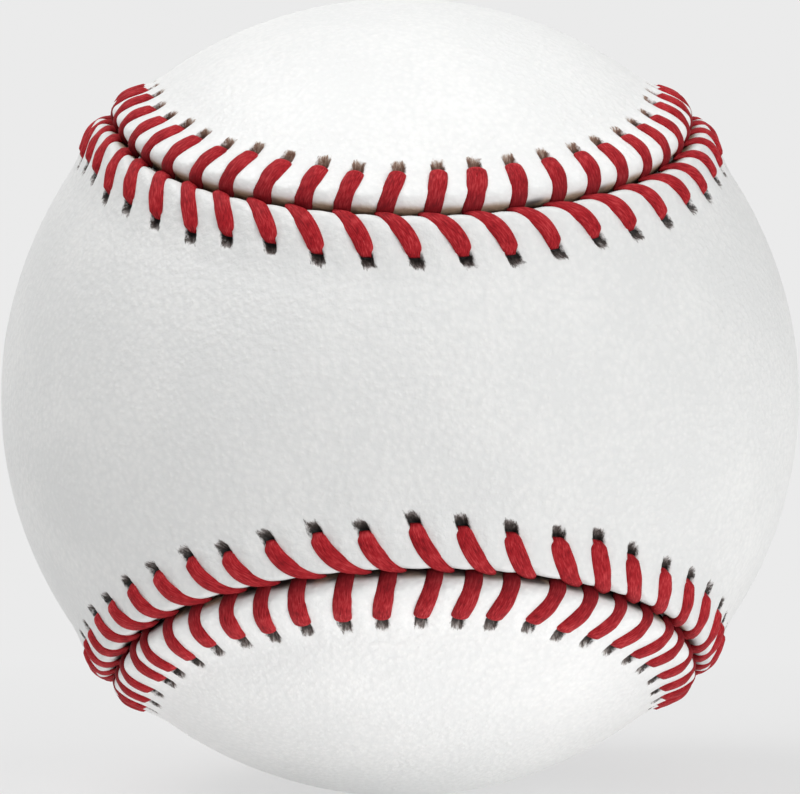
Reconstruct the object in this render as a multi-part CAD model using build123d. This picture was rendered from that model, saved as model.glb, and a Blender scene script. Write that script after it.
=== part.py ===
from build123d import *
from math import acos, atan, atan2, cos, degrees, hypot, sin, sqrt
import os

# A stitched leather ball. Sizes are in mm and the middle of the ball is the origin.
# The narrow waist of the front panel faces -Y and its two lobes lie left and right.
# The waist of the rear panel faces +Y and its two lobes lie at the top and the bottom.

# Layers, from the middle outwards
core_diameter = 20.6
shell_wall = 3.9
gasket_height = 1.0
red_layer_wall = 2.3
first_winding_wall = 14.6
second_winding_wall = 1.75
third_winding_wall = 2.25
cotton_winding_wall = 0.4
leather_thickness = 1.25
layer_clearance = 0.05

# The seam and the raised welts beside it, as lengths along the surface of the ball and above it
waist_width = 30.0
straight_length = 34.2
welt_reach = 6.2
welt_height = 0.75
crest_distance = 2.8
lip_height = 0.2
mouth_flare = 0.2
channel_reach = 8.0
channel_height = 1.1

# The stitching
stitch_count = 108
thread_width = 1.5
thread_thickness = 0.5
thread_bend = 0.65
flat_share = 2 / 3
spans_over_welt = 4
thread_clearance = 0.15
under_run_width = 1.1
hole_distance = 4.4
hole_clearance = 0.25
first_station = 1.67
entry_stagger = 1.75
front_slant = 3.0
rear_slant = 0.6

# How far a cutter runs past what it cuts, and a welt runs into the leather
overrun = 0.4

# Radii that follow from the layers
core_radius = core_diameter / 2
shell_inside = core_radius + layer_clearance
shell_outside = shell_inside + shell_wall
red_inside = shell_outside + layer_clearance
red_outside = red_inside + red_layer_wall
first_inside = red_outside + layer_clearance
first_outside = first_inside + first_winding_wall
second_inside = first_outside + layer_clearance
second_outside = second_inside + second_winding_wall
third_inside = second_outside + layer_clearance
third_outside = third_inside + third_winding_wall
cotton_inside = third_outside + layer_clearance
cotton_outside = cotton_inside + cotton_winding_wall
cover_inside = cotton_outside + layer_clearance
cover_radius = cover_inside + leather_thickness

# Room for the thread under the leather and between the two panels
thread_room = thread_thickness + 2 * thread_clearance
thread_foot = cover_inside + thread_room
under_run_radius = cover_inside + thread_room / 2
thread_lift = thread_clearance + thread_thickness / 2

# The seam seen from the middle of the ball: four equal bends joined by four straights
diagonal_share = 1 / sqrt(2)
half_waist = waist_width / 2 / cover_radius
half_straight = straight_length / 2 / cover_radius
bend_angle = atan((cos(half_straight) / diagonal_share - sin(half_waist)) / cos(half_waist))
middle = (0, 0, 0)


def turn_about(pole, start, end):
    """Give the right-handed turn about a pole from one direction to another, in radians."""
    first = start - pole * start.dot(pole)
    last = end - pole * end.dot(pole)
    return atan2(pole.dot(first.cross(last)), first.dot(last))


def next_quarter(v):
    """Carry a point of the seam on to the same point of the next quarter."""
    return Vector(v.Z, -v.Y, -v.X)


def seam_arcs():
    """List the eight arcs of the seam in order, each as (pole, first point, turn)."""
    tilt = half_waist + bend_angle
    bend_pole = Vector(0, -cos(tilt), sin(tilt))
    straight_middle = Vector(diagonal_share, 0, diagonal_share)
    toward = bend_pole.dot(straight_middle)
    beside = (bend_pole - straight_middle * toward).normalized()
    lean = acos(sin(bend_angle) / sqrt(1 - toward**2))
    straight_pole = beside * cos(lean) - straight_middle.cross(beside) * sin(lean)
    bend_end = (bend_pole - straight_pole * sin(bend_angle)) / cos(bend_angle)
    bend_start = Vector(-bend_end.X, bend_end.Y, bend_end.Z)
    waist_middle = Vector(0, -cos(half_waist), sin(half_waist))
    bend_turn = 2 * turn_about(bend_pole, waist_middle, bend_end)
    arcs = []
    for sense in (1, -1, 1, -1):
        arcs.append((bend_pole * sense, bend_start, bend_turn))
        arcs.append((straight_pole * sense, bend_end, 2 * half_straight))
        bend_pole, straight_pole = next_quarter(bend_pole), next_quarter(straight_pole)
        bend_start, bend_end = next_quarter(bend_start), next_quarter(bend_end)
    return arcs


ARCS = seam_arcs()


def arc_length(arc):
    """Give the length of one arc of the seam along the surface of the ball."""
    pole, start, turn = arc
    return cover_radius * pole.cross(start).length * turn


SEAM_LENGTH = sum(arc_length(arc) for arc in ARCS)
stitch_pitch = SEAM_LENGTH / stitch_count


def seam_frame(station):
    """Give the plane through the ball's middle whose z is the seam's point and x its direction of travel.

    Stations count from the middle of the upper front bend. Its y points to the rear panel.
    """
    left = (station + arc_length(ARCS[0]) / 2) % SEAM_LENGTH
    for arc in ARCS:
        if left <= arc_length(arc):
            break
        left -= arc_length(arc)
    pole, start, turn = arc
    point = start.rotate(Axis(middle, pole), degrees(turn * left / arc_length(arc)))
    return Plane(origin=middle, x_dir=pole.cross(point), z_dir=point)


def welt(distance):
    """Give the height of the welt above the plain ball, at a distance from the seam."""
    before_foot = distance - welt_reach
    lip_share = (distance - crest_distance) * before_foot / (crest_distance * welt_reach)
    crest_share = distance * before_foot / (crest_distance * (crest_distance - welt_reach))
    return lip_height * lip_share + welt_height * crest_share


def band(outline):
    """Carry an outline along the whole seam. The outline's face is drawn with at(distance, radius)."""
    pieces = []
    for pole, start, turn in ARCS:
        polar = acos(pole.dot(start))
        section = Plane(origin=middle, x_dir=start - pole * pole.dot(start), z_dir=start.cross(pole))

        def at(distance, radius):
            angle = polar + distance / cover_radius
            return (radius * sin(angle), radius * cos(angle))

        face = section * make_face(outline(at))
        pieces.append(revolve(face, Axis(middle, pole), revolution_arc=degrees(turn)))
    return pieces


def welt_outline(at):
    """Draw both welts in section, from foot to crest to lip and on to the other foot."""
    foot_distance = welt_reach + overrun
    foot_radius = cover_radius + welt(foot_distance)
    lip = at(0, cover_radius + lip_height)
    edges = [Line(at(-foot_distance, foot_radius), at(foot_distance, foot_radius))]
    for side in (-1, 1):
        crest = at(side * crest_distance, cover_radius + welt_height)
        edges.append(ThreePointArc(at(side * foot_distance, foot_radius), crest, lip))
    return edges


def channel_outline(at):
    """Draw the vaulted hollow under both welts, where the thread runs from the seam to the holes."""
    left = at(-channel_reach, cover_inside - layer_clearance)
    right = at(channel_reach, cover_inside - layer_clearance)
    return [ThreePointArc(left, at(0, cover_inside + channel_height), right), Line(left, right)]


def gap_outline(at):
    """Draw the gap between the two panels, which widens outwards."""
    wall = thread_room / 2
    rim = wall + mouth_flare
    low = cover_inside - overrun
    high = cover_radius + welt_height
    return [Polyline(at(wall, low), at(rim, high), at(-rim, high), at(-wall, low), close=True)]


def ball_layer(inside, outside):
    """Make a hollow ball."""
    return Sphere(outside) - Sphere(inside)


def rubber_pieces():
    """Make the two half shells round the cork and the ring that seals the joint between them."""
    whole = ball_layer(shell_inside, shell_outside)
    span = 2 * (shell_outside + overrun)
    ring = whole & Box(span, span, gasket_height)
    slab = Box(span, span, gasket_height + 2 * layer_clearance)
    halves = (whole - slab).solids().sort_by(Axis.Z)
    return halves[1], halves[0], ring


def leg_point(slant, side, distance, radius):
    """Place a point of a stitch leg over the leather, in the frame of the seam where the leg begins."""
    heading = Vector(slant, side * hole_distance, 0).normalized()
    angle = distance / hole_distance * hypot(slant, hole_distance) / cover_radius
    return Vector(heading.X * sin(angle), heading.Y * sin(angle), cos(angle)) * radius


def strand():
    """Draw the section of a thread on the leather: flat above and below, with bevelled edges."""
    edge = thread_width / 2
    corner = edge * flat_share
    top = thread_thickness / 2
    right, left = (edge, 0), (-edge, 0)
    return Polygon(right, (corner, top), (-corner, top), left, (-corner, -top), (corner, -top), align=None)


def leg(slant, side):
    """Make one stitch leg, from the gap up over the welt and down its hole, as a flat strand."""
    def top(distance):
        return cover_radius + welt(distance) + thread_lift

    last = hole_distance - thread_bend
    diagonal_bend = thread_bend * diagonal_share
    near = top(thread_bend) - thread_bend
    far = top(last) - thread_bend
    stops = [
        (0, thread_foot, 0, 1),
        (0, near, 0, 1),
        (thread_bend - diagonal_bend, near + diagonal_bend, 1, 1),
    ]
    for span in range(spans_over_welt + 1):
        distance = thread_bend + (last - thread_bend) * span / spans_over_welt
        stops.append((distance, top(distance), 1, 0))
    stops += [
        (last + diagonal_bend, far + diagonal_bend, 1, -1),
        (hole_distance, far, 0, -1),
        (hole_distance, thread_foot, 0, -1),
    ]
    sections = []
    for distance, radius, forward, upward in stops:
        point = leg_point(slant, side, distance, radius)
        ahead = leg_point(slant, side, distance + thread_bend, radius) - point
        outward = point.normalized()
        across = outward.cross(ahead).normalized() * -side
        flat = Vector(1, 0, 0) if distance == 0 else across
        run = ahead.normalized() * forward + outward * upward
        sections.append(Plane(origin=point, x_dir=flat, z_dir=run) * strand())
    return loft(sections, ruled=True)


def hole_cutter(slant, side):
    """Make the slot through the leather into which a stitch leg goes down."""
    foot = leg_point(slant, side, hole_distance, thread_foot - overrun)
    across = foot.cross(Vector(slant, side * hole_distance, 0))
    depth = cover_radius + welt_height - thread_foot + overrun
    slot = SlotOverall(thread_width + 2 * hole_clearance, thread_thickness + 2 * hole_clearance)
    return extrude(Plane(origin=foot, x_dir=across, z_dir=foot) * slot, depth)


def under_run(start, end):
    """Make the run of thread under the leather, between two directions from the middle of the ball."""
    pole = start.cross(end).normalized()
    section = Plane(origin=start * under_run_radius, x_dir=pole, z_dir=pole.cross(start))
    oval = section * Ellipse(under_run_width / 2, thread_thickness / 2)
    return revolve(oval, Axis(middle, pole), revolution_arc=degrees(turn_about(pole, start, end)))


def stitching():
    """Make the two threads and the cutters for their holes in the front and rear panels."""
    rows = {"front": (front_slant, -1, -entry_stagger), "rear": (rear_slant, 1, 0)}
    legs = {row: leg(slant, side) for row, (slant, side, shift) in rows.items()}
    slots = {row: hole_cutter(slant, side) for row, (slant, side, shift) in rows.items()}
    threads = ([], [])
    cutters = {"front": [], "rear": []}
    for row, (slant, side, shift) in rows.items():
        other = "rear" if row == "front" else "front"
        other_slant, other_side, other_shift = rows[other]
        for stitch in range(stitch_count):
            place = seam_frame(first_station + shift + stitch * stitch_pitch)
            after = seam_frame(first_station + other_shift + (stitch + 1) * stitch_pitch)
            hole = after.from_local_coords(leg_point(other_slant, other_side, hole_distance, 1))
            thread = threads[(stitch + (row == "front")) % 2]
            thread.append(place * legs[row])
            thread.append(under_run(place.z_dir, hole.normalized()))
            cutters[row].append(place * slots[row])
    return threads, cutters


def panels(cutters):
    """Make the two leather panels, which meet at the seam."""
    cover = Sphere(cover_radius) + band(welt_outline)
    cover = cover - (Sphere(cover_inside) + band(channel_outline)) - band(gap_outline)
    waist = Vertex(0, -cover_radius, 0)
    front, rear = sorted(cover.solids(), key=lambda panel: panel.distance_to(waist))
    return front - cutters["front"], rear - cutters["rear"]


def main():
    upper_shell, lower_shell, gasket = rubber_pieces()
    threads, cutters = stitching()
    front_panel, rear_panel = panels(cutters)
    nodes = {
        "cork_core": Sphere(core_radius),
        "upper_rubber_shell": upper_shell,
        "lower_rubber_shell": lower_shell,
        "rubber_gasket": gasket,
        "red_rubber_layer": ball_layer(red_inside, red_outside),
        "first_wool_winding": ball_layer(first_inside, first_outside),
        "second_wool_winding": ball_layer(second_inside, second_outside),
        "third_wool_winding": ball_layer(third_inside, third_outside),
        "cotton_winding": ball_layer(cotton_inside, cotton_outside),
        "front_leather_panel": front_panel,
        "rear_leather_panel": rear_panel,
        "first_stitch_thread": Compound(children=threads[0]),
        "second_stitch_thread": Compound(children=threads[1]),
    }
    os.makedirs("parts", exist_ok=True)
    for name, shape in nodes.items():
        export_step(shape, f"parts/{name}.step")


main()
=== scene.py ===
from math import acos, atan, atan2, cos, pi, radians, sin, sqrt, tau

import bmesh
import bpy
import numpy as np
from mathutils import Matrix, Vector
from mathutils.geometry import delaunay_2d_cdt


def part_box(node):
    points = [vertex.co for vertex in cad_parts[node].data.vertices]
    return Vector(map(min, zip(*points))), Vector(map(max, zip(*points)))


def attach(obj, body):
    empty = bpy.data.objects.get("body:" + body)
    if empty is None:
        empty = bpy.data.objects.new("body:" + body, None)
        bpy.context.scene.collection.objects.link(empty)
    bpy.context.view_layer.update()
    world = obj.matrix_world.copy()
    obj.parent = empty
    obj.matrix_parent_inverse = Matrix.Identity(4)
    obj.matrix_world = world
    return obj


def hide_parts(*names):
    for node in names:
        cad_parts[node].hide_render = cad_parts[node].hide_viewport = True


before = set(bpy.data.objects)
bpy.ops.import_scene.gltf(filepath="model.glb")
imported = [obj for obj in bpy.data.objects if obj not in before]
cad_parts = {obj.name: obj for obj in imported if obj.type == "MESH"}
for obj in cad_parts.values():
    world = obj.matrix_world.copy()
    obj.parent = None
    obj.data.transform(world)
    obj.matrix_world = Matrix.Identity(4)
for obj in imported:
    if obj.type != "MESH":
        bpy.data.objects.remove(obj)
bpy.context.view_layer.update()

MM = 0.001
FRONT = 1
REAR = -1


def half_height(node_name):
    """Give half the height of one of the solids."""
    low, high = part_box(node_name)
    return (high.z - low.z) / 2


# The ball, as the solids have it
LINING_CLEARANCE = 0.05 * MM
COVER_RADIUS = half_height("rear_leather_panel")
COVER_INSIDE = half_height("cotton_winding") + LINING_CLEARANCE
WAIST_WIDTH = 30.0 * MM
STRAIGHT_LENGTH = 34.2 * MM

# The welts beside the seam, and how the legs press them down
WELT_HEIGHT = 1.1 * MM
WELT_REACH = 6.6 * MM
CREASE_DEPTH = 0.35 * MM
GAP = 0.27 * MM
BACK_EDGE = 0.1 * MM
ROLL_BETWEEN = 0.85 * MM
ROLL_UNDER_THREAD = 1.9 * MM
PRESS_DEPTH = 0.3 * MM
PRESS_WIDTH = 0.85 * MM
PRESS_ONSET = 1.5 * MM
PRESS_FADE = 1.2 * MM
RIM_TINT_REACH = 0.13 * MM
BAND_WIDTH = 8.4 * MM

# The slow swell and dip of hand-sewn leather
WAVE_COUNT = 24
SHORTEST_WAVE = 9.0 * MM
LONGEST_WAVE = 26.0 * MM
WAVE_HEIGHT = 0.005 * MM

# Where the stitches lie. The rear legs are shorter at the middle of the upper seam.
STITCHES = 108
HOLE_DISTANCE = {FRONT: 3.75 * MM, REAR: 4.05 * MM}
SLANT = {FRONT: 2.6 * MM, REAR: 0.9 * MM}
SLANT_CURVE = {FRONT: 1.5, REAR: 1.3}
FARTHEST_SHARE = 1.3
HOLE_PHASE = {FRONT: 0.0 * MM, REAR: -0.8 * MM}
HOLE_DRIFT = {FRONT: -0.28 * MM, REAR: -0.7 * MM}
PITCH_DRIFT = 1.2 * MM
SHORTENING = {FRONT: 0.0 * MM, REAR: 0.5 * MM}
SHORT_MIDDLE = -5.0 * MM
SHORT_REACH = 10.0 * MM
STATION_SCATTER = 0.13 * MM
DISTANCE_SCATTER = 0.17 * MM
SLANT_SCATTER = 0.2 * MM
WIDTH_SCATTER_SHARE = 0.05

# The torn holes, and the dimple in the leather round each
HOLE_HALF_WIDTH = {FRONT: 0.52 * MM, REAR: 0.62 * MM}
HOLE_HALF_LENGTH = 0.72 * MM
HOLE_MIDDLE = 0.5 * MM
HOLE_LEAN = {FRONT: 0.3, REAR: 0.0}
HOLE_BLUNTNESS = 4
HOLE_DEPTH = 0.7 * MM
HOLE_LIP_SHARE = 1.08
HOLE_WALL_SHARE = 0.5
TAIL_RISE_SHARE = 0.7
DIMPLE_DEPTH = 0.2 * MM
DIMPLE_WIDTH = 1.3 * MM
DIMPLE_MIDDLE = 0.1 * MM

# The legs. Width shares are at the seam, halfway and at the hole.
THREAD_WIDTH = 1.5 * MM
WIDTH_SHARES = {FRONT: (0.62, 1.05, 0.8), REAR: (0.82, 1.08, 0.9)}
THREAD_THICKNESS = 0.55 * MM
SECTION_WIDTH_POWER = 0.85
SECTION_HEIGHT_POWER = 0.75
LEG_SAG = 0.12 * MM
LEG_EASE_SHARE = 0.55
THREAD_STRANDS = 6
STRAND_GROOVE = 0.01 * MM
STRAND_TWIST_SHARE = 0.35
UPPER_FACE_SHARE = 0.2
THREAD_LIFT = 0.22 * MM
THREAD_TAIL = 0.15 * MM
THREAD_REACH = {FRONT: 0.05 * MM, REAR: 0.15 * MM}
BRIDGE = 0.55 * MM
SEAM_DIP = {FRONT: 0.75 * MM, REAR: 1.0 * MM}
SKEW_REACH = 1.8 * MM
LEAST_FACING = 0.45
# Painted shade on the legs where they dive into the seam: how dark it is on each row, and over what share
# of the leg it fades
SEAM_SHADE_SHARE = {FRONT: 0.15, REAR: 0.85}
SEAM_SHADE_REACH_SHARE = 0.36

# The windings: node, material slot, width of the yarn, turns, and cells along a side of the mesh
WINDINGS = (
    ("first_wool_winding", "grey_wool", 2.3 * MM, 260, 60),
    ("second_wool_winding", "white_wool", 1.9 * MM, 420, 72),
    ("third_wool_winding", "grey_wool", 1.9 * MM, 440, 76),
    ("cotton_winding", "white_cotton", 1.1 * MM, 800, 96),
)
BEDDING_SHARE = 0.4

# How finely the meshes follow all this
COLUMNS_PER_STITCH = 24
BAND_ROWS = 50
ROW_CROWDING = 1.35
LEG_RINGS = 30
LEG_SIDES = 22
INTERIOR_SPACING = 1.6 * MM
LINING_SPACING = 4.0 * MM
LATTICE_CELL_SHARE = 0.87
LATTICE_MARGIN_SHARE = 0.7
WELD_LIMIT = 1e-7
SAME_PLACE_DIGITS = 6
DIRECTION_STEP = 0.55 * MM
SEAM_SAMPLES = 1200
SEARCH_PARTS = 8
NEIGHBOURS = 2
FAR_AWAY = 1.0
SEED = 7

# Colours of the leather and its holes. Hole tones run from the thread to the tip of the torn tail: nearly
# black at the deep end by the thread, which is painted shade, then the torn fibres' own brown and grey
# towards the shallow tail.
BLACK = (0.0, 0.0, 0.0)
WHITE = (1.0, 1.0, 1.0)
HIDE_TONES = {
    FRONT: ((0.71, 0.715, 0.71), (0.78, 0.78, 0.77)),
    REAR: ((0.79, 0.795, 0.79), (0.86, 0.86, 0.85)),
}
BLACK_HOLE = ((0.012, 0.01, 0.009), (0.07, 0.058, 0.052), (0.33, 0.31, 0.3))
BROWN_HOLE = ((0.07, 0.037, 0.025), (0.19, 0.1, 0.067), (0.43, 0.34, 0.27))
GREY_HOLE = ((0.02, 0.016, 0.014), (0.08, 0.063, 0.056), (0.34, 0.31, 0.29))
UPPER_HOLE = {FRONT: BLACK_HOLE, REAR: BROWN_HOLE}
LOWER_HOLE = {FRONT: BLACK_HOLE, REAR: GREY_HOLE}
HOLE_TONE_SHARES = (0.15, 0.6, 1.0)
TAN_STAIN = (0.42, 0.3, 0.21)
# Tone of the cut edge towards the bottom of the ball, darker than the tan above
DARK_EDGE_TONE = (0.07, 0.045, 0.038)

# Colours of what else there is, from dark to light where there are several
THREAD_REDS = ((0.18, 0.006, 0.01), (0.35, 0.012, 0.018), (0.52, 0.048, 0.054))
LINT = (0.62, 0.25, 0.24)
# The legs' red in painted shade, mixed in where they dive into the seam
SHADED_RED = (0.09, 0.005, 0.008)
YARN_TONES = {
    "grey_wool": ((0.16, 0.16, 0.17), (0.42, 0.42, 0.43)),
    "white_wool": ((0.6, 0.57, 0.5), (0.84, 0.82, 0.77)),
    "white_cotton": ((0.68, 0.67, 0.62), (0.88, 0.87, 0.84)),
}
CORK_TONES = ((0.33, 0.18, 0.08), (0.62, 0.42, 0.23))
CORK_JOINT = (0.12, 0.06, 0.03)
CORK_SPECK = (0.02, 0.018, 0.016)
BLACK_RUBBER = ((0.012, 0.012, 0.013), (0.035, 0.034, 0.033))
RED_RUBBER = ((0.28, 0.03, 0.025), (0.5, 0.07, 0.055))

# Surface grain: its depths, and how often the fibres of a leg repeat round it and along it
GRAIN_DEPTH = 0.11 * MM
FIBRE_DEPTH = 0.06 * MM
NAP_DEPTH = 0.1 * MM
CRUMB_DEPTH = 0.3 * MM
PIT_DEPTH = 0.08 * MM
THREAD_STRETCH = (44.0, 10.0, 1.0)

# How the holes are torn: the pattern by each mark, and how far they fray at the thread and along the tail
TORN_STRETCH = {"across": 2.1, "tail": 1.5, "number": 3.7}
NOISE_MIDDLE = 0.5
FRAY = 1.0
TAIL_FRAY = 0.9
FRAY_CONTRAST = 2.2
TORN_EDGE_SHARES = (0.43, 0.58)

# How the seam's colours change with the height of a point, per metre
HALF_CHANGE = 100.0
EDGE_TONE_CHANGE = -6.0

# The stage. Angles are in degrees, and lamps are given as name, place and power.
VIEW_AZIMUTH = -2.44
VIEW_ELEVATION = -0.65
VIEW_ROLL = -0.29
VIEW_DISTANCE = 7 * COVER_RADIUS
VIEW_TANGENT = 0.1447
NEAREST_SEEN = 0.01
FLOOR_CLEARANCE = 0.1 * MM
FLOOR_LEVEL = -COVER_RADIUS - FLOOR_CLEARANCE
FLOOR_WIDTH = 8.0
FLOOR_COLOUR = (0.8, 0.8, 0.8)
FLOOR_SHADOW_SHARE = 0.32
SHADOW_REACH = 0.16
BACKDROP = (0.83, 0.83, 0.83)
AMBIENT = 0.14
LAMP_SIZE = 0.5
LAMPS = (
    ("front_right", (0.4, -0.57, 0.0), 2.8),
    ("upper_left", (-0.35, -0.1, 0.6), 3.9),
    ("upper_right", (0.303, -0.175, 0.606), 1.3),
    ("under_left", (-0.303, 0.175, -0.606), 1.5),
    ("under_right", (0.303, 0.175, -0.606), 2.3),
)

rng = np.random.default_rng(SEED)


def unit(v):
    return v / np.linalg.norm(v, axis=-1, keepdims=True)


def smooth(t):
    t = np.clip(t, 0, 1)
    return t * t * (3 - 2 * t)


def signed_power(v, power):
    return np.sign(v) * np.abs(v) ** power


# The line of the seam

def turned(v, pole, angle):
    """Turn a direction about a pole by each of the angles."""
    angle = np.asarray(angle)[..., None]
    return v * np.cos(angle) + np.cross(pole, v) * np.sin(angle) + pole * (pole @ v) * (1 - np.cos(angle))


def next_quarter(v):
    """Carry a direction to the next quarter of the seam, which is turned and flipped."""
    return np.array([v[2], -v[1], -v[0]])


def seam_arcs():
    """List the four bends and four straights of the seam in order, as (pole, first point, turn)."""
    half_waist = WAIST_WIDTH / 2 / COVER_RADIUS
    half_straight = STRAIGHT_LENGTH / 2 / COVER_RADIUS
    # The radius of a bend, as an angle, that gives the straights their length
    bend = atan((cos(half_straight) * sqrt(2) - sin(half_waist)) / cos(half_waist))
    tilt = half_waist + bend
    bend_pole = np.array([0, -cos(tilt), sin(tilt)])
    straight_middle = unit(np.array([1.0, 0, 1.0]))
    toward = bend_pole @ straight_middle
    beside = unit(bend_pole - straight_middle * toward)
    # The circle of a straight touches that of its bend where the bend ends
    lean = acos(sin(bend) / sqrt(1 - toward**2))
    straight_pole = beside * cos(lean) - np.cross(straight_middle, beside) * sin(lean)
    bend_end = (bend_pole - straight_pole * sin(bend)) / cos(bend)
    bend_start = bend_end * [-1, 1, 1]
    first, last = (v - bend_pole * (v @ bend_pole) for v in (bend_start, bend_end))
    bend_turn = atan2(bend_pole @ np.cross(first, last), first @ last) % tau
    arcs = []
    for sense in (1, -1, 1, -1):
        arcs.append((bend_pole * sense, bend_start, bend_turn))
        arcs.append((straight_pole * sense, bend_end, 2 * half_straight))
        bend_pole, straight_pole = next_quarter(bend_pole), next_quarter(straight_pole)
        bend_start, bend_end = next_quarter(bend_start), next_quarter(bend_end)
    return arcs


def arc_length(pole, start, turn):
    return COVER_RADIUS * np.linalg.norm(np.cross(pole, start)) * turn


ARCS = seam_arcs()
ARC_LENGTHS = np.array([arc_length(*arc) for arc in ARCS])
SEAM_LENGTH = ARC_LENGTHS.sum()
PITCH = SEAM_LENGTH / STITCHES


def seam_frame(station):
    """Give the directions of the seam's points at the stations, and those to its front side.

    Stations count from the middle of the upper front bend.
    """
    along = (station + ARC_LENGTHS[0] / 2) % SEAM_LENGTH
    starts = np.concatenate([[0], np.cumsum(ARC_LENGTHS)])
    which = np.clip(np.searchsorted(starts, along, side="right") - 1, 0, len(ARCS) - 1)
    point = np.zeros(along.shape + (3,))
    front = np.zeros(along.shape + (3,))
    for i, (pole, start, turn) in enumerate(ARCS):
        here = which == i
        point[here] = turned(start, pole, (along[here] - starts[i]) / ARC_LENGTHS[i] * turn)
        travel = unit(np.cross(pole, point[here]))
        front[here] = np.cross(travel, point[here])
    return point, front


def on_ball(station, distance, height):
    """Place points by station, distance to the seam's front side and height above plain leather."""
    point, front = seam_frame(station)
    angle = (distance / COVER_RADIUS)[..., None]
    return (point * np.cos(angle) + front * np.sin(angle)) * (COVER_RADIUS + height)[..., None]


def wrapped(offset):
    """Take the shorter way round the seam."""
    return (offset + SEAM_LENGTH / 2) % SEAM_LENGTH - SEAM_LENGTH / 2


# Where each stitch lies

def stitch_row(side):
    """Give each stitch of one row its hole's station and distance, its slant and its width."""
    even = np.arange(STITCHES) * PITCH
    lap = tau * even / SEAM_LENGTH
    station = even + HOLE_PHASE[side] + HOLE_DRIFT[side] * np.cos(lap) - PITCH_DRIFT * np.sin(2 * lap)
    nearer = SHORTENING[side] * np.exp(-((wrapped(station - SHORT_MIDDLE) / SHORT_REACH) ** 2))
    return {
        "hole": station + rng.normal(0, STATION_SCATTER, STITCHES),
        "distance": HOLE_DISTANCE[side] - nearer + rng.normal(0, DISTANCE_SCATTER, STITCHES),
        "slant": SLANT[side] + rng.normal(0, SLANT_SCATTER, STITCHES),
        "width": THREAD_WIDTH * (1 + rng.normal(0, WIDTH_SCATTER_SHARE, STITCHES)),
    }


ROWS = {side: stitch_row(side) for side in (FRONT, REAR)}


def leg_station(side, stitch, distance):
    """Give the station of a stitch's middle line at a distance from the seam."""
    row = ROWS[side]
    left = np.clip(1 - distance / row["distance"][stitch], 0, FARTHEST_SHARE)
    return row["hole"][stitch] - row["slant"][stitch] * left ** SLANT_CURVE[side]


def nearest_stitch(side, station, distance):
    """Give the nearest leg's offset along the seam, and each point's place from the nearest hole.

    That place is across the leg and beyond the hole's start. The hole's number comes last.
    """
    guess = np.round(station / PITCH).astype(int)
    best = across = beyond = near_hole = np.full(station.shape, FAR_AWAY)
    number = np.zeros(station.shape)
    for step in range(-NEIGHBOURS, NEIGHBOURS + 1):
        stitch = (guess + step) % STITCHES
        offset = wrapped(station - leg_station(side, stitch, distance))
        best = np.where(np.abs(offset) < np.abs(best), offset, best)
        x = wrapped(station - ROWS[side]["hole"][stitch])
        y = distance - ROWS[side]["distance"][stitch]
        closer = x**2 + y**2 < near_hole
        near_hole = np.where(closer, x**2 + y**2, near_hole)
        across = np.where(closer, x, across)
        beyond = np.where(closer, y, beyond)
        number = np.where(closer, stitch, number)
    return best, across, beyond, number


# The shape of the leather

# The marks of leather away from holes and edges
PLAIN = {"hole": 3.0, "tail": 2.0, "across": 0.0, "number": 0.0, "rim": 0.0}

WAVES = unit(rng.normal(0, 1, (WAVE_COUNT, 3)))
WAVES = WAVES * rng.uniform(tau / LONGEST_WAVE, tau / SHORTEST_WAVE, (WAVE_COUNT, 1))
WAVE_PHASES = rng.uniform(0, tau, WAVE_COUNT)


def swollen(points):
    """Add the slow swell and dip of the leather to points on the ball."""
    swell = np.cos(points @ WAVES.T + WAVE_PHASES).sum(-1) * WAVE_HEIGHT
    return points * (1 + swell / COVER_RADIUS)[:, None]


def welt(side, offset, distance):
    """Give the height of a welt. It is lower and rounder where a leg passes, at an offset of zero."""
    leg_tilt = cos(atan(SLANT[side] / HOLE_DISTANCE[side]))
    covered = smooth((HOLE_DISTANCE[side] + PRESS_FADE / 2 - distance) / PRESS_FADE)
    near_leg = np.exp(-((offset * leg_tilt / PRESS_WIDTH) ** 2)) * covered
    roll = ROLL_BETWEEN + (ROLL_UNDER_THREAD - ROLL_BETWEEN) * near_leg
    outer = WELT_HEIGHT * smooth((WELT_REACH - distance) / (WELT_REACH - roll))
    from_rim = np.maximum(distance - GAP, 0)
    fall = np.sqrt(np.clip(1 - ((roll - np.minimum(from_rim, roll)) / roll) ** 2, 0, 1))
    height = np.where(from_rim < roll, (WELT_HEIGHT + CREASE_DEPTH) * fall - CREASE_DEPTH, outer)
    return height - PRESS_DEPTH * near_leg * smooth(distance / PRESS_ONSET)


def relief(side, station, distance):
    """Give the leather's height over the plain ball near the seam, and the marks that colour it."""
    offset, across, beyond, number = nearest_stitch(side, station, distance)
    across = across - HOLE_LEAN[side] * beyond
    aside = across / HOLE_HALF_WIDTH[side]
    ahead = (beyond - HOLE_MIDDLE) / HOLE_HALF_LENGTH
    hole = (aside**HOLE_BLUNTNESS + ahead**HOLE_BLUNTNESS) ** (1 / HOLE_BLUNTNESS)
    tail = (beyond - THREAD_TAIL) / (HOLE_MIDDLE + HOLE_HALF_LENGTH - THREAD_TAIL)
    depth = HOLE_DEPTH * (1 - TAIL_RISE_SHARE * np.clip(tail, 0, 1))
    spread = (across / DIMPLE_WIDTH) ** 2 + ((beyond - DIMPLE_MIDDLE) / DIMPLE_WIDTH) ** 2
    height = welt(side, offset, distance) - DIMPLE_DEPTH * np.exp(-spread)
    height = height - depth * smooth((HOLE_LIP_SHARE - hole) / HOLE_WALL_SHARE)
    marks = {
        "hole": np.minimum(hole, PLAIN["hole"]),
        "tail": np.clip(tail, -1, PLAIN["tail"]),
        "across": np.clip(aside, -PLAIN["hole"], PLAIN["hole"]),
        "number": number,
        "rim": np.exp(-((np.maximum(distance - GAP, 0) / RIM_TINT_REACH) ** 2)),
    }
    return height, marks


# Making meshes

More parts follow.
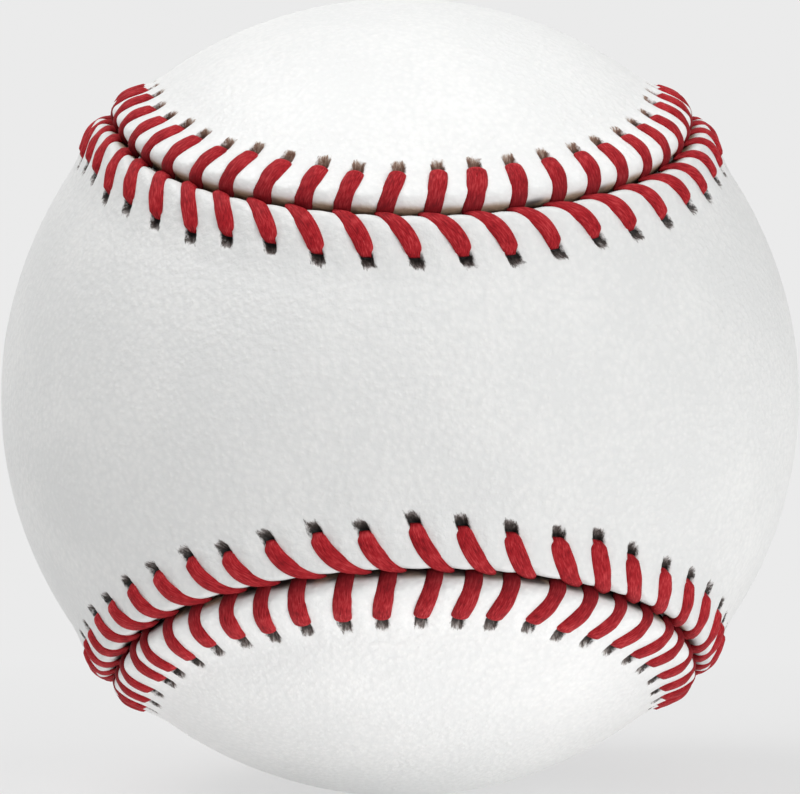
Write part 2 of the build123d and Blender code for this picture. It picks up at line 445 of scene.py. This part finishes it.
def face_outwards(mesh):
    """Turn every face of a closed mesh outwards."""
    work = bmesh.new()
    work.from_mesh(mesh)
    bmesh.ops.recalc_face_normals(work, faces=work.faces)
    work.to_mesh(mesh)
    work.free()


def mesh_object(name, points, faces, material, corner_uv=None, **marks):
    """Make a smooth mesh from arrays of faces, one array for each count of corners.

    The marks are float values on its points.
    """
    mesh = bpy.data.meshes.new(name)
    totals = np.concatenate([np.full(len(f), f.shape[1]) for f in faces]).astype(np.int32)
    corners = np.concatenate([f.ravel() for f in faces]).astype(np.int32)
    mesh.vertices.add(len(points))
    mesh.vertices.foreach_set("co", points.astype(np.float32).ravel())
    mesh.loops.add(len(corners))
    mesh.loops.foreach_set("vertex_index", corners)
    mesh.polygons.add(len(totals))
    mesh.polygons.foreach_set("loop_start", (np.cumsum(totals) - totals).astype(np.int32))
    mesh.polygons.foreach_set("use_smooth", np.ones(len(totals), bool))
    if corner_uv is not None:
        layer = mesh.uv_layers.new(name="UVMap")
        layer.data.foreach_set("uv", corner_uv.astype(np.float32).ravel())
    for mark_name, values in marks.items():
        layer = mesh.attributes.new(mark_name, "FLOAT", "POINT")
        layer.data.foreach_set("value", values.astype(np.float32))
    mesh.update(calc_edges=True)
    face_outwards(mesh)
    made = bpy.data.objects.new(name, mesh)
    bpy.context.scene.collection.objects.link(made)
    mesh.materials.append(material)
    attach(made, "root")
    return made


def ball_lattice(spacing):
    """Spread directions evenly over a ball of the cover's size, along a golden spiral."""
    count = int(4 * pi * COVER_RADIUS**2 / (LATTICE_CELL_SHARE * spacing**2))
    i = np.arange(count) + 0.5
    z = 1 - 2 * i / count
    turn = pi * (1 + sqrt(5)) * i
    ring = np.sqrt(1 - z * z)
    return np.stack([ring * np.cos(turn), ring * np.sin(turn), z], 1)


def seam_distance(directions):
    """Give the distance of each direction to the front side of the seam."""
    point, front = seam_frame(np.linspace(0, SEAM_LENGTH, SEAM_SAMPLES, endpoint=False))
    result = np.zeros(len(directions))
    for part in np.array_split(np.arange(len(directions)), SEARCH_PARTS):
        facing = directions[part] @ point.T
        nearest = facing.argmax(1)
        away = np.arccos(np.clip(facing.max(1), -1, 1))
        result[part] = away * np.sign((directions[part] * front[nearest]).sum(1)) * COVER_RADIUS
    return result


def filled(ring, side, spacing, ring_distance):
    """Fill a closed ring of directions with a net of even triangles, inside one panel."""
    inner = ball_lattice(spacing)
    inner = inner[seam_distance(inner) * side > ring_distance + LATTICE_MARGIN_SHARE * spacing]
    points = np.vstack([ring, inner])
    # Flat, as seen from the far side of the ball
    flat = points[:, [0, 2]] / (1 - side * points[:, 1])[:, None]
    loop = [(i, (i + 1) % len(ring)) for i in range(len(ring))]
    result = delaunay_2d_cdt([Vector(p) for p in flat], loop, [], 1, WELD_LIMIT)
    source = [ids[0] for ids in result[3]]
    triangles = np.array([[source[i] for i in face] for face in result[2]])
    return inner, triangles


class PanelMesh:
    """Gather the points and faces of one panel, row by row from the seam inwards."""

    def __init__(self, side):
        self.side = side
        self.points = []
        self.marks = {name: [] for name in PLAIN}
        self.faces = []
        self.count = 0

    def add(self, points, **marks):
        """Add points with their marks, plain where none is given. Give the points' numbers."""
        first = self.count
        self.points.append(points)
        for name, plain_value in PLAIN.items():
            self.marks[name].append(np.broadcast_to(marks.get(name, plain_value), len(points)))
        self.count += len(points)
        return np.arange(first, self.count)

    def join(self, outer, inner):
        """Join two rings of one count with quads, or a ring to one of half its count with triangles."""
        if len(outer) == len(inner):
            self.faces.append(np.stack([outer, np.roll(outer, -1), np.roll(inner, -1), inner], 1))
            return
        a, b, c = outer[0::2], outer[1::2], np.roll(outer[0::2], -1)
        near, far = inner, np.roll(inner, -1)
        for corners in ((a, b, near), (b, c, far), (b, far, near)):
            self.faces.append(np.stack(corners, 1))

    def close(self, name, material):
        """Make the mesh from all that was gathered."""
        marks = {mark_name: np.concatenate(values) for mark_name, values in self.marks.items()}
        return mesh_object(name, np.vstack(self.points), self.faces, material, **marks)


def column_stations(columns):
    return np.arange(columns) * SEAM_LENGTH / columns


def even_ring(side, columns, distance, height):
    """Give the points at one distance from the seam and one height, all along it."""
    return on_ball(column_stations(columns), np.full(columns, side * distance), np.full(columns, height))


def fill_panel(build, ring, spacing, distance, radius):
    """Close a ring of the panel with its wide plain middle, at a radius."""
    edge = unit(np.vstack(build.points)[ring])
    inner, triangles = filled(edge, build.side, spacing, distance)
    ids = np.concatenate([ring, build.add(swollen(inner * radius))])
    build.faces.append(ids[triangles])


def narrow_panel(build, ring, distance, height):
    """Carry a ring inwards with fewer and fewer columns. Give the last ring and its distance."""
    columns = len(ring)
    while columns % 2 == 0 and columns > 2 * STITCHES:
        distance += SEAM_LENGTH / columns
        columns //= 2
        inner = build.add(swollen(even_ring(build.side, columns, distance, height)))
        build.join(ring, inner)
        ring = inner
    return ring, distance


def panel(node_name, side, material):
    """Make one leather panel: its outer face with welt and holes, its rolled edge and its back."""
    build = PanelMesh(side)
    station = column_stations(STITCHES * COLUMNS_PER_STITCH)
    rings = []
    for share in np.linspace(0, 1, BAND_ROWS):
        distance = np.full(len(station), GAP + (BAND_WIDTH - GAP) * share**ROW_CROWDING)
        height, marks = relief(side, station, distance)
        rings.append(build.add(swollen(on_ball(station, side * distance, height)), **marks))
    for outer, inner in zip(rings, rings[1:]):
        build.join(outer, inner)
    ring, distance = narrow_panel(build, rings[-1], BAND_WIDTH, 0)
    fill_panel(build, ring, INTERIOR_SPACING, distance, COVER_RADIUS)
    back = COVER_INSIDE - COVER_RADIUS
    edge = build.add(even_ring(side, len(station), BACK_EDGE, back), rim=1.0)
    build.join(rings[0], edge)
    ring, distance = narrow_panel(build, edge, BACK_EDGE, back)
    fill_panel(build, ring, LINING_SPACING, distance, COVER_INSIDE)
    made = build.close(node_name + "_hide", material)
    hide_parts(node_name)


# The shape of the stitches

def leg_lines(side):
    """Give the middle line of every leg of a row, from the seam to the hole.

    With it come the seam's direction beside each point, how far the leg's section there is turned
    along the seam, and the share of the way.
    """
    row = ROWS[side]
    share = np.linspace(0, 1, LEG_RINGS)
    eased = share - LEG_EASE_SHARE * np.sin(tau * share) / tau
    ends = row["distance"][:, None] + THREAD_TAIL
    distance = -THREAD_REACH[side] + (ends + THREAD_REACH[side]) * eased
    stitch = np.broadcast_to(np.arange(STITCHES)[:, None], distance.shape)
    station = leg_station(side, stitch, distance)
    leather_height = relief(side, station, np.maximum(distance, BRIDGE))[0]
    sunk = SEAM_DIP[side] * smooth((BRIDGE - distance) / (BRIDGE + THREAD_REACH[side]))
    height = leather_height + THREAD_LIFT - sunk
    line = on_ball(station, side * distance, height)
    along = unit(on_ball(station + DIRECTION_STEP, side * distance, height) - line)
    skew = smooth((SKEW_REACH - distance) / SKEW_REACH)
    return line, along, skew, share


def along_leg(shares, share):
    """Run smoothly through the three shares of a leg's width: at the seam, halfway and at the hole."""
    start, middle, end = shares
    straight = start * (1 - share) * (1 - 2 * share) + end * share * (2 * share - 1)
    return straight + 4 * middle * share * (1 - share)


def leg_rings(side):
    """Give the points round every leg of a row: a flat bundle of strands, narrower at both ends."""
    line, along, skew, share = leg_lines(side)
    run = unit(np.gradient(line, axis=1))
    across = unit(np.cross(run, unit(line)))
    lift = np.cross(across, run)
    facing = (along * across).sum(-1)
    stretch = skew * np.sign(facing) / np.maximum(np.abs(facing), LEAST_FACING)
    across = across * (1 - skew)[..., None] + along * stretch[..., None]
    turn = tau * np.arange(LEG_SIDES) / LEG_SIDES
    x = signed_power(np.cos(turn), SECTION_WIDTH_POWER)
    y = signed_power(np.sin(turn), SECTION_HEIGHT_POWER)
    width = ROWS[side]["width"][:, None] / 2 * along_leg(WIDTH_SHARES[side], share)
    twisted = x[None, None] + STRAND_TWIST_SHARE * share[None, :, None]
    ridge = np.abs(np.sin(pi * THREAD_STRANDS * (twisted + 1) / 2))
    groove = STRAND_GROOVE * (1 - ridge) * (y > UPPER_FACE_SHARE)
    rise = THREAD_THICKNESS / 2 * y - groove - LEG_SAG * x**2
    points = line[:, :, None] + across[:, :, None] * (width[..., None] * x)[..., None]
    return points + lift[:, :, None] * rise[..., None], share


def leg_corners(legs, share):
    """Give the corners of every leg's faces their place: round it, plus its number, and along it."""
    around = np.arange(LEG_SIDES) / LEG_SIDES
    next_around = around + 1 / LEG_SIDES
    u = np.stack([around, next_around, next_around, around], -1)
    v = np.stack([share[:-1], share[:-1], share[1:], share[1:]], -1)
    corners = np.zeros((legs, LEG_RINGS - 1, LEG_SIDES, 4, 2))
    corners[..., 0] = u[None, None] + np.arange(legs)[:, None, None, None]
    corners[..., 1] = v[None, :, None]
    return corners.reshape(-1, 2)


def thread(node_name, first_row, material):
    """Make one thread: every second leg of each row."""
    points, faces, uv, dim = [], [], [], []
    count = 0
    for side in (FRONT, REAR):
        rings, share = leg_rings(side)
        chosen = rings[(0 if side == first_row else 1)::2]
        legs = len(chosen)
        ids = count + np.arange(chosen[..., 0].size).reshape(legs, LEG_RINGS, LEG_SIDES)
        count += ids.size
        points.append(chosen.reshape(-1, 3))
        # Painted shade: each leg is darker where it dives into the seam, more so on the rear row
        painted_seam_shade = SEAM_SHADE_SHARE[side] * np.exp(-((share / SEAM_SHADE_REACH_SHARE) ** 2))
        dim.append(np.broadcast_to(painted_seam_shade[None, :, None], ids.shape).ravel())
        near, far = ids[:, :-1], ids[:, 1:]
        quads = np.stack([near, np.roll(near, -1, 2), np.roll(far, -1, 2), far], -1)
        faces.append(quads.reshape(-1, 4))
        uv.append(leg_corners(legs, share))
        for end in (0, -1):
            faces.append(ids[:, end])
            uv.append(np.zeros((legs * LEG_SIDES, 2)))
    all_points, all_uv, all_dim = np.vstack(points), np.vstack(uv), np.concatenate(dim)
    made = mesh_object(node_name + "_legs", all_points, faces, material, corner_uv=all_uv, dim=all_dim)
    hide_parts(node_name)


# The wound yarn inside

def cube_ball(cells):
    """Make the points and quads of a ball with an even grid on six sides."""
    grid = np.tan(np.linspace(-pi / 4, pi / 4, cells + 1))
    a, b = np.meshgrid(grid, grid, indexing="ij")
    one = np.ones_like(a)
    sides = [(one, a, b), (-one, b, a), (b, one, a), (a, -one, b), (a, b, one), (b, a, -one)]
    points = unit(np.concatenate([np.stack(s, -1).reshape(-1, 3) for s in sides]))
    ids = np.arange((cells + 1) ** 2).reshape(cells + 1, cells + 1)
    quads = np.stack([ids[:-1, :-1], ids[1:, :-1], ids[1:, 1:], ids[:-1, 1:]], -1).reshape(-1, 4)
    faces = np.concatenate([quads + i * ids.size for i in range(len(sides))])
    places = np.round(points, SAME_PLACE_DIGITS)
    first, back = np.unique(places, axis=0, return_index=True, return_inverse=True)[1:]
    return points[first], back.ravel()[faces]


def winding(node_name, yarn_width, turns, cells, material):
    """Make a ball of wound yarn. Each turn is a great circle that lies over those before it."""
    radius = half_height(node_name)
    points, faces = cube_ball(cells)
    height = np.zeros(len(points))
    shade = np.zeros(len(points))
    for pole in unit(rng.normal(0, 1, (turns, 3))):
        off = np.arcsin(np.clip(points @ pole, -1, 1)) * radius / (yarn_width / 2)
        under = np.abs(off) < 1
        round_top = np.sqrt(1 - off[under] ** 2) * yarn_width / 2
        height[under] = BEDDING_SHARE * height[under] + round_top
        shade[under] = rng.uniform(0, 1)
    height = height - height.max()
    points = points * (radius + height)[:, None]
    made = mesh_object(node_name + "_yarn", points, [faces], material, shade=shade)
    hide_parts(node_name)


# Nodes

# The colour sockets of a mix node, by number
MIX_LOW = 6
MIX_HIGH = 7
MIX_RESULT = 2


def nodes_for(name):
    """Make a material. Give it with its node tree and its surface shader."""
    material = bpy.data.materials.new(name)
    material.use_nodes = True
    tree = material.node_tree
    return material, tree, tree.nodes["Principled BSDF"]


def node(tree, kind, **settings):
    """Add a node, with its properties and unlinked inputs set by name."""
    made = tree.nodes.new(kind)
    for key, value in settings.items():
        if hasattr(made, key):
            setattr(made, key, value)
        else:
            made.inputs[key.replace("_", " ").title()].default_value = value
    return made


def ramp(tree, source, *stops):
    """Turn a value into colours. Each stop is (position, colour)."""
    made = tree.nodes.new("ShaderNodeValToRGB")
    elements = made.color_ramp.elements
    while len(elements) < len(stops):
        elements.new(0.5)
    for element, (position, colour) in zip(elements, stops):
        element.position = position
        element.color = (*colour, 1)
    tree.links.new(source, made.inputs["Fac"])
    return made.outputs["Color"]


def mixed(tree, factor, low, high):
    """Mix two colours, each a socket or a plain colour, by a factor socket."""
    made = tree.nodes.new("ShaderNodeMix")
    made.data_type = "RGBA"
    tree.links.new(factor, made.inputs["Factor"])
    for index, colour in ((MIX_LOW, low), (MIX_HIGH, high)):
        if isinstance(colour, tuple):
            made.inputs[index].default_value = (*colour, 1)
        else:
            tree.links.new(colour, made.inputs[index])
    return made.outputs[MIX_RESULT]


def blended(tree, factor, low, high):
    """Mix two shader nodes by a factor socket."""
    made = tree.nodes.new("ShaderNodeMixShader")
    for socket, source in zip(made.inputs, (factor, low.outputs[0], high.outputs[0])):
        tree.links.new(source, socket)
    return made


def compute(tree, operation, a, b, clamp=False):
    """Work out a value from two others, each a socket or a number."""
    made = tree.nodes.new("ShaderNodeMath")
    made.operation = operation
    made.use_clamp = clamp
    for socket, value in zip(made.inputs, (a, b)):
        if isinstance(value, (int, float)):
            socket.default_value = value
        else:
            tree.links.new(value, socket)
    return made.outputs[0]


def weighted(tree, *terms):
    """Add two values, each given with its weight."""
    first, second = (compute(tree, "MULTIPLY", value, weight) for value, weight in terms)
    return compute(tree, "ADD", first, second)


def peaks(tree, value, level, gain):
    """Give a factor that rises from 0 to 1 where a value passes a level."""
    return compute(tree, "MULTIPLY", compute(tree, "SUBTRACT", value, level), gain, clamp=True)


def texture(tree, kind, place, **settings):
    made = node(tree, kind, **settings)
    tree.links.new(place, made.inputs["Vector"])
    return made


def noise(tree, place, **settings):
    return texture(tree, "ShaderNodeTexNoise", place, **settings).outputs["Fac"]


def bumped(tree, height, distance, strength):
    made = node(tree, "ShaderNodeBump", strength=strength, distance=distance)
    tree.links.new(height, made.inputs["Height"])
    return made.outputs["Normal"]


def mark(tree, name):
    return node(tree, "ShaderNodeAttribute", attribute_name=name).outputs["Fac"]


def place_of(tree):
    return tree.nodes.new("ShaderNodeTexCoord").outputs["Object"]


# Materials

def torn_holes(tree, height, side):
    """Give the colours inside the torn holes, and a factor that is 1 where the leather is whole."""
    fibres = tree.nodes.new("ShaderNodeCombineXYZ")
    for axis, (mark_name, stretch) in zip("XYZ", TORN_STRETCH.items()):
        tree.links.new(compute(tree, "MULTIPLY", mark(tree, mark_name), stretch), fibres.inputs[axis])
    ragged = noise(tree, fibres.outputs["Vector"], scale=1.0, detail=4.0, roughness=0.7)
    tear = compute(tree, "SUBTRACT", ragged, NOISE_MIDDLE)
    reach = compute(tree, "ADD", compute(tree, "MULTIPLY", mark(tree, "tail"), TAIL_FRAY), FRAY)
    torn_edge = compute(tree, "ADD", mark(tree, "hole"), compute(tree, "MULTIPLY", tear, reach))
    half_edge = compute(tree, "MULTIPLY", torn_edge, 0.5)
    whole = ramp(tree, half_edge, *zip(TORN_EDGE_SHARES, (BLACK, WHITE)))
    # The hole's colour follows its depth, darkest where it is deepest: painted shade, with the torn
    # fibres' own tones towards the shallow tail
    depth = weighted(tree, (mark(tree, "tail"), 1.0), (tear, FRAY_CONTRAST))
    upper = ramp(tree, depth, *zip(HOLE_TONE_SHARES, UPPER_HOLE[side]))
    lower = ramp(tree, depth, *zip(HOLE_TONE_SHARES, LOWER_HOLE[side]))
    low_half = compute(tree, "SUBTRACT", 0.5, compute(tree, "MULTIPLY", height, HALF_CHANGE), clamp=True)
    return mixed(tree, low_half, upper, lower), whole


def toned_edge(tree, place, height, hide):
    """Colour the cut edge of the hide: mostly tan on the upper half of the ball, darker towards the
    bottom.
    """
    patches = noise(tree, place, scale=330.0, detail=2.0)
    tone = weighted(tree, (patches, 1.0), (height, EDGE_TONE_CHANGE))
    stain = ramp(tree, tone, (0.45, TAN_STAIN), (0.62, DARK_EDGE_TONE))
    return mixed(tree, mark(tree, "rim"), hide, stain)


def leather(name, side):
    """White tanned hide with a fine pebbled grain, and raw torn edges round the stitch holes."""
    material, tree, shader = nodes_for(name)
    place = place_of(tree)
    upright = tree.nodes.new("ShaderNodeSeparateXYZ")
    tree.links.new(place, upright.inputs["Vector"])
    height = upright.outputs["Z"]
    mottle = noise(tree, place, scale=110.0, detail=3.0)
    fine = noise(tree, place, scale=5200.0, detail=2.0)
    pebbles = texture(tree, "ShaderNodeTexVoronoi", place, scale=2100.0, feature="SMOOTH_F1")
    domes = compute(tree, "MULTIPLY", pebbles.outputs["Distance"], -1.0)
    dark, light = HIDE_TONES[side]
    hide = ramp(tree, weighted(tree, (mottle, 0.6), (domes, 0.5)), (0.0, dark), (0.35, light))
    inside_hole, whole = torn_holes(tree, height, side)
    colour = mixed(tree, whole, inside_hole, toned_edge(tree, place, height, hide))
    tree.links.new(colour, shader.inputs["Base Color"])
    grain = weighted(tree, (domes, 1.0), (fine, 0.5))
    tree.links.new(bumped(tree, grain, GRAIN_DEPTH, strength=0.75), shader.inputs["Normal"])
    gloss = ramp(tree, fine, (0.3, (0.44,) * 3), (0.7, (0.56,) * 3))
    tree.links.new(gloss, shader.inputs["Roughness"])
    shader.inputs["Specular IOR Level"].default_value = 0.35
    return material


def waxed_thread():
    """Red cotton, its fibres pressed flat side by side under a little wax."""
    material, tree, shader = nodes_for("red_thread")
    along = tree.nodes.new("ShaderNodeUVMap")
    stretch = node(tree, "ShaderNodeMapping", scale=THREAD_STRETCH)
    tree.links.new(along.outputs["UV"], stretch.inputs["Vector"])
    fibres = noise(tree, stretch.outputs["Vector"], scale=1.0, detail=4.0)
    place = place_of(tree)
    patches = noise(tree, place, scale=900.0, detail=2.0)
    red = ramp(tree, weighted(tree, (fibres, 0.7), (patches, 0.3)), *zip((0.34, 0.5, 0.66), THREAD_REDS))
    fluff = noise(tree, place, scale=3800.0, detail=3.0)
    red_with_lint = mixed(tree, peaks(tree, fluff, level=0.72, gain=5.0), red, LINT)
    # Painted shade: the dim mark darkens the red where the legs dive into the seam
    tree.links.new(mixed(tree, mark(tree, "dim"), red_with_lint, SHADED_RED), shader.inputs["Base Color"])
    tree.links.new(bumped(tree, fibres, FIBRE_DEPTH, strength=0.7), shader.inputs["Normal"])
    shader.inputs["Roughness"].default_value = 0.65
    shader.inputs["Specular IOR Level"].default_value = 0.1
    return material


def yarn(name, dark, light):
    """Wound yarn: each turn has its own tone, with fibres and a soft nap."""
    material, tree, shader = nodes_for(name)
    nap = noise(tree, place_of(tree), scale=2400.0, detail=4.0)
    tone = weighted(tree, (mark(tree, "shade"), 0.6), (nap, 0.4))
    tree.links.new(ramp(tree, tone, (0.1, dark), (0.9, light)), shader.inputs["Base Color"])
    tree.links.new(bumped(tree, nap, NAP_DEPTH, strength=0.6), shader.inputs["Normal"])
    shader.inputs["Roughness"].default_value = 0.85
    shader.inputs["Sheen Weight"].default_value = 0.25
    return material


def cork():
    """Ground cork bound with rubber: tan crumbs, darker joints and black specks."""
    material, tree, shader = nodes_for("cork")
    place = place_of(tree)
    crumbs = texture(tree, "ShaderNodeTexVoronoi", place, scale=750.0)
    tan_tones = ramp(tree, crumbs.outputs["Color"], *zip((0.1, 0.9), CORK_TONES))
    edges = texture(tree, "ShaderNodeTexVoronoi", place, scale=750.0, feature="DISTANCE_TO_EDGE")
    from_edge = edges.outputs["Distance"]
    joint = compute(tree, "SUBTRACT", 1.0, compute(tree, "MULTIPLY", from_edge, 9.0), clamp=True)
    body = mixed(tree, joint, tan_tones, CORK_JOINT)
    specks = noise(tree, place, scale=1100.0, detail=2.0)
    dots = peaks(tree, specks, level=0.62, gain=9.0)
    tree.links.new(mixed(tree, dots, body, CORK_SPECK), shader.inputs["Base Color"])
    tree.links.new(bumped(tree, from_edge, CRUMB_DEPTH, strength=0.5), shader.inputs["Normal"])
    shader.inputs["Roughness"].default_value = 0.8
    return material


def rubber(name, dark, light):
    """Moulded rubber with a dusty bloom and fine pits."""
    material, tree, shader = nodes_for(name)
    place = place_of(tree)
    bloom = noise(tree, place, scale=260.0, detail=5.0)
    tree.links.new(ramp(tree, bloom, (0.35, dark), (0.7, light)), shader.inputs["Base Color"])
    pits = noise(tree, place, scale=2200.0, detail=3.0)
    tree.links.new(bumped(tree, pits, PIT_DEPTH, strength=0.4), shader.inputs["Normal"])
    tree.links.new(ramp(tree, bloom, (0.3, (0.5,) * 3), (0.7, (0.75,) * 3)), shader.inputs["Roughness"])
    return material


# The object

def dress_inside():
    """Finish what the leather hides: the cork and rubber centre, and the windings round it."""
    core = cork()
    black = rubber("black_rubber", *BLACK_RUBBER)
    red = rubber("red_rubber", *RED_RUBBER)
    finishes = {
        "cork_core": core,
        "upper_rubber_shell": black,
        "lower_rubber_shell": black,
        "red_rubber_layer": red,
        "rubber_gasket": red,
    }
    for name, material in finishes.items():
        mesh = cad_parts[name].data
        mesh.materials.clear()
        mesh.materials.append(material)
    yarns = {slot: yarn(slot, *tones) for slot, tones in YARN_TONES.items()}
    for name, slot, yarn_width, turns, cells in WINDINGS:
        winding(name, yarn_width, turns, cells, yarns[slot])


def dress_outside():
    """Make the leather panels and the threads that sew them together."""
    red = waxed_thread()
    front_hide = leather("front_leather", FRONT)
    rear_hide = leather("rear_leather", REAR)
    panel("front_leather_panel", FRONT, front_hide)
    panel("rear_leather_panel", REAR, rear_hide)
    thread("first_stitch_thread", REAR, red)
    thread("second_stitch_thread", FRONT, red)


# The stage

def seen_directly(tree):
    """Give a factor that is 1 for what the camera sees, straight or reflected, and 0 for lighting."""
    rays = tree.nodes.new("ShaderNodeLightPath")
    total = compute(tree, "ADD", rays.outputs["Is Camera Ray"], rays.outputs["Is Glossy Ray"])
    return compute(tree, "ADD", total, rays.outputs["Is Transmission Ray"], clamp=True)


def backdrop():
    """Surround the ball with an even pale grey, and light it evenly from all round."""
    world = bpy.data.worlds.new("studio")
    bpy.context.scene.world = world
    world.use_nodes = True
    tree = world.node_tree
    lighting = tree.nodes["Background"]
    lighting.inputs["Strength"].default_value = AMBIENT
    lighting.inputs["Color"].default_value = (*WHITE, 1)
    shown = tree.nodes.new("ShaderNodeBackground")
    shown.inputs["Color"].default_value = (*BACKDROP, 1)
    surface = blended(tree, seen_directly(tree), lighting, shown)
    tree.links.new(surface.outputs[0], tree.nodes["World Output"].inputs["Surface"])


def floor_material():
    """Make a floor that looks like the backdrop and takes the ball's shadow close to it."""
    material, tree, shader = nodes_for("floor")
    shader.inputs["Base Color"].default_value = (*FLOOR_COLOUR, 1)
    shader.inputs["Roughness"].default_value = 1.0
    shader.inputs["Specular IOR Level"].default_value = 0.0
    glow = tree.nodes.new("ShaderNodeEmission")
    glow.inputs["Color"].default_value = (*BACKDROP, 1)
    fade = node(tree, "ShaderNodeMapping", scale=(1 / SHADOW_REACH, 1 / SHADOW_REACH, 0))
    tree.links.new(place_of(tree), fade.inputs["Vector"])
    disc = texture(tree, "ShaderNodeTexGradient", fade.outputs["Vector"], gradient_type="SPHERICAL")
    nearness = compute(tree, "MULTIPLY", disc.outputs["Fac"], FLOOR_SHADOW_SHARE)
    shadowed = blended(tree, nearness, glow, shader)
    surface = blended(tree, seen_directly(tree), shader, shadowed)
    tree.links.new(surface.outputs[0], tree.nodes["Material Output"].inputs["Surface"])
    return material


def floor():
    """Lay a wide pale floor under the ball."""
    half = FLOOR_WIDTH / 2
    corners = [(x * half, y * half, FLOOR_LEVEL) for x, y in ((-1, -1), (1, -1), (1, 1), (-1, 1))]
    mesh = bpy.data.meshes.new("floor")
    mesh.from_pydata(corners, [], [(0, 1, 2, 3)])
    mesh.materials.append(floor_material())
    made = bpy.data.objects.new("floor", mesh)
    bpy.context.scene.collection.objects.link(made)
    made.visible_shadow = False


def aimed(made, place, roll=0.0):
    """Put a lamp or the camera at a place, aimed at the middle of the ball."""
    bpy.context.scene.collection.objects.link(made)
    turn = Vector(place).to_track_quat("Z", "Y").to_matrix().to_4x4()
    made.matrix_world = Matrix.Translation(place) @ turn @ Matrix.Rotation(roll, 4, "Z")
    return made


def lamp(name, place, power):
    """Hang a soft square lamp."""
    light = bpy.data.lights.new(name, "AREA")
    light.size = LAMP_SIZE
    light.energy = power
    aimed(bpy.data.objects.new(name, light), place)


def camera():
    """Look at the ball as the photograph does."""
    lens = bpy.data.cameras.new("camera")
    lens.sensor_fit = "HORIZONTAL"
    lens.lens = lens.sensor_width / 2 / VIEW_TANGENT
    lens.clip_start = NEAREST_SEEN
    azimuth, elevation = radians(VIEW_AZIMUTH), radians(VIEW_ELEVATION)
    ahead = Vector((sin(azimuth) * cos(elevation), -cos(azimuth) * cos(elevation), sin(elevation)))
    made = aimed(bpy.data.objects.new("camera", lens), ahead * VIEW_DISTANCE, radians(VIEW_ROLL))
    bpy.context.scene.camera = made


camera()
backdrop()
floor()
for lamp_values in LAMPS:
    lamp(*lamp_values)
dress_inside()
dress_outside()
bpy.context.scene.view_settings.view_transform = "Standard"
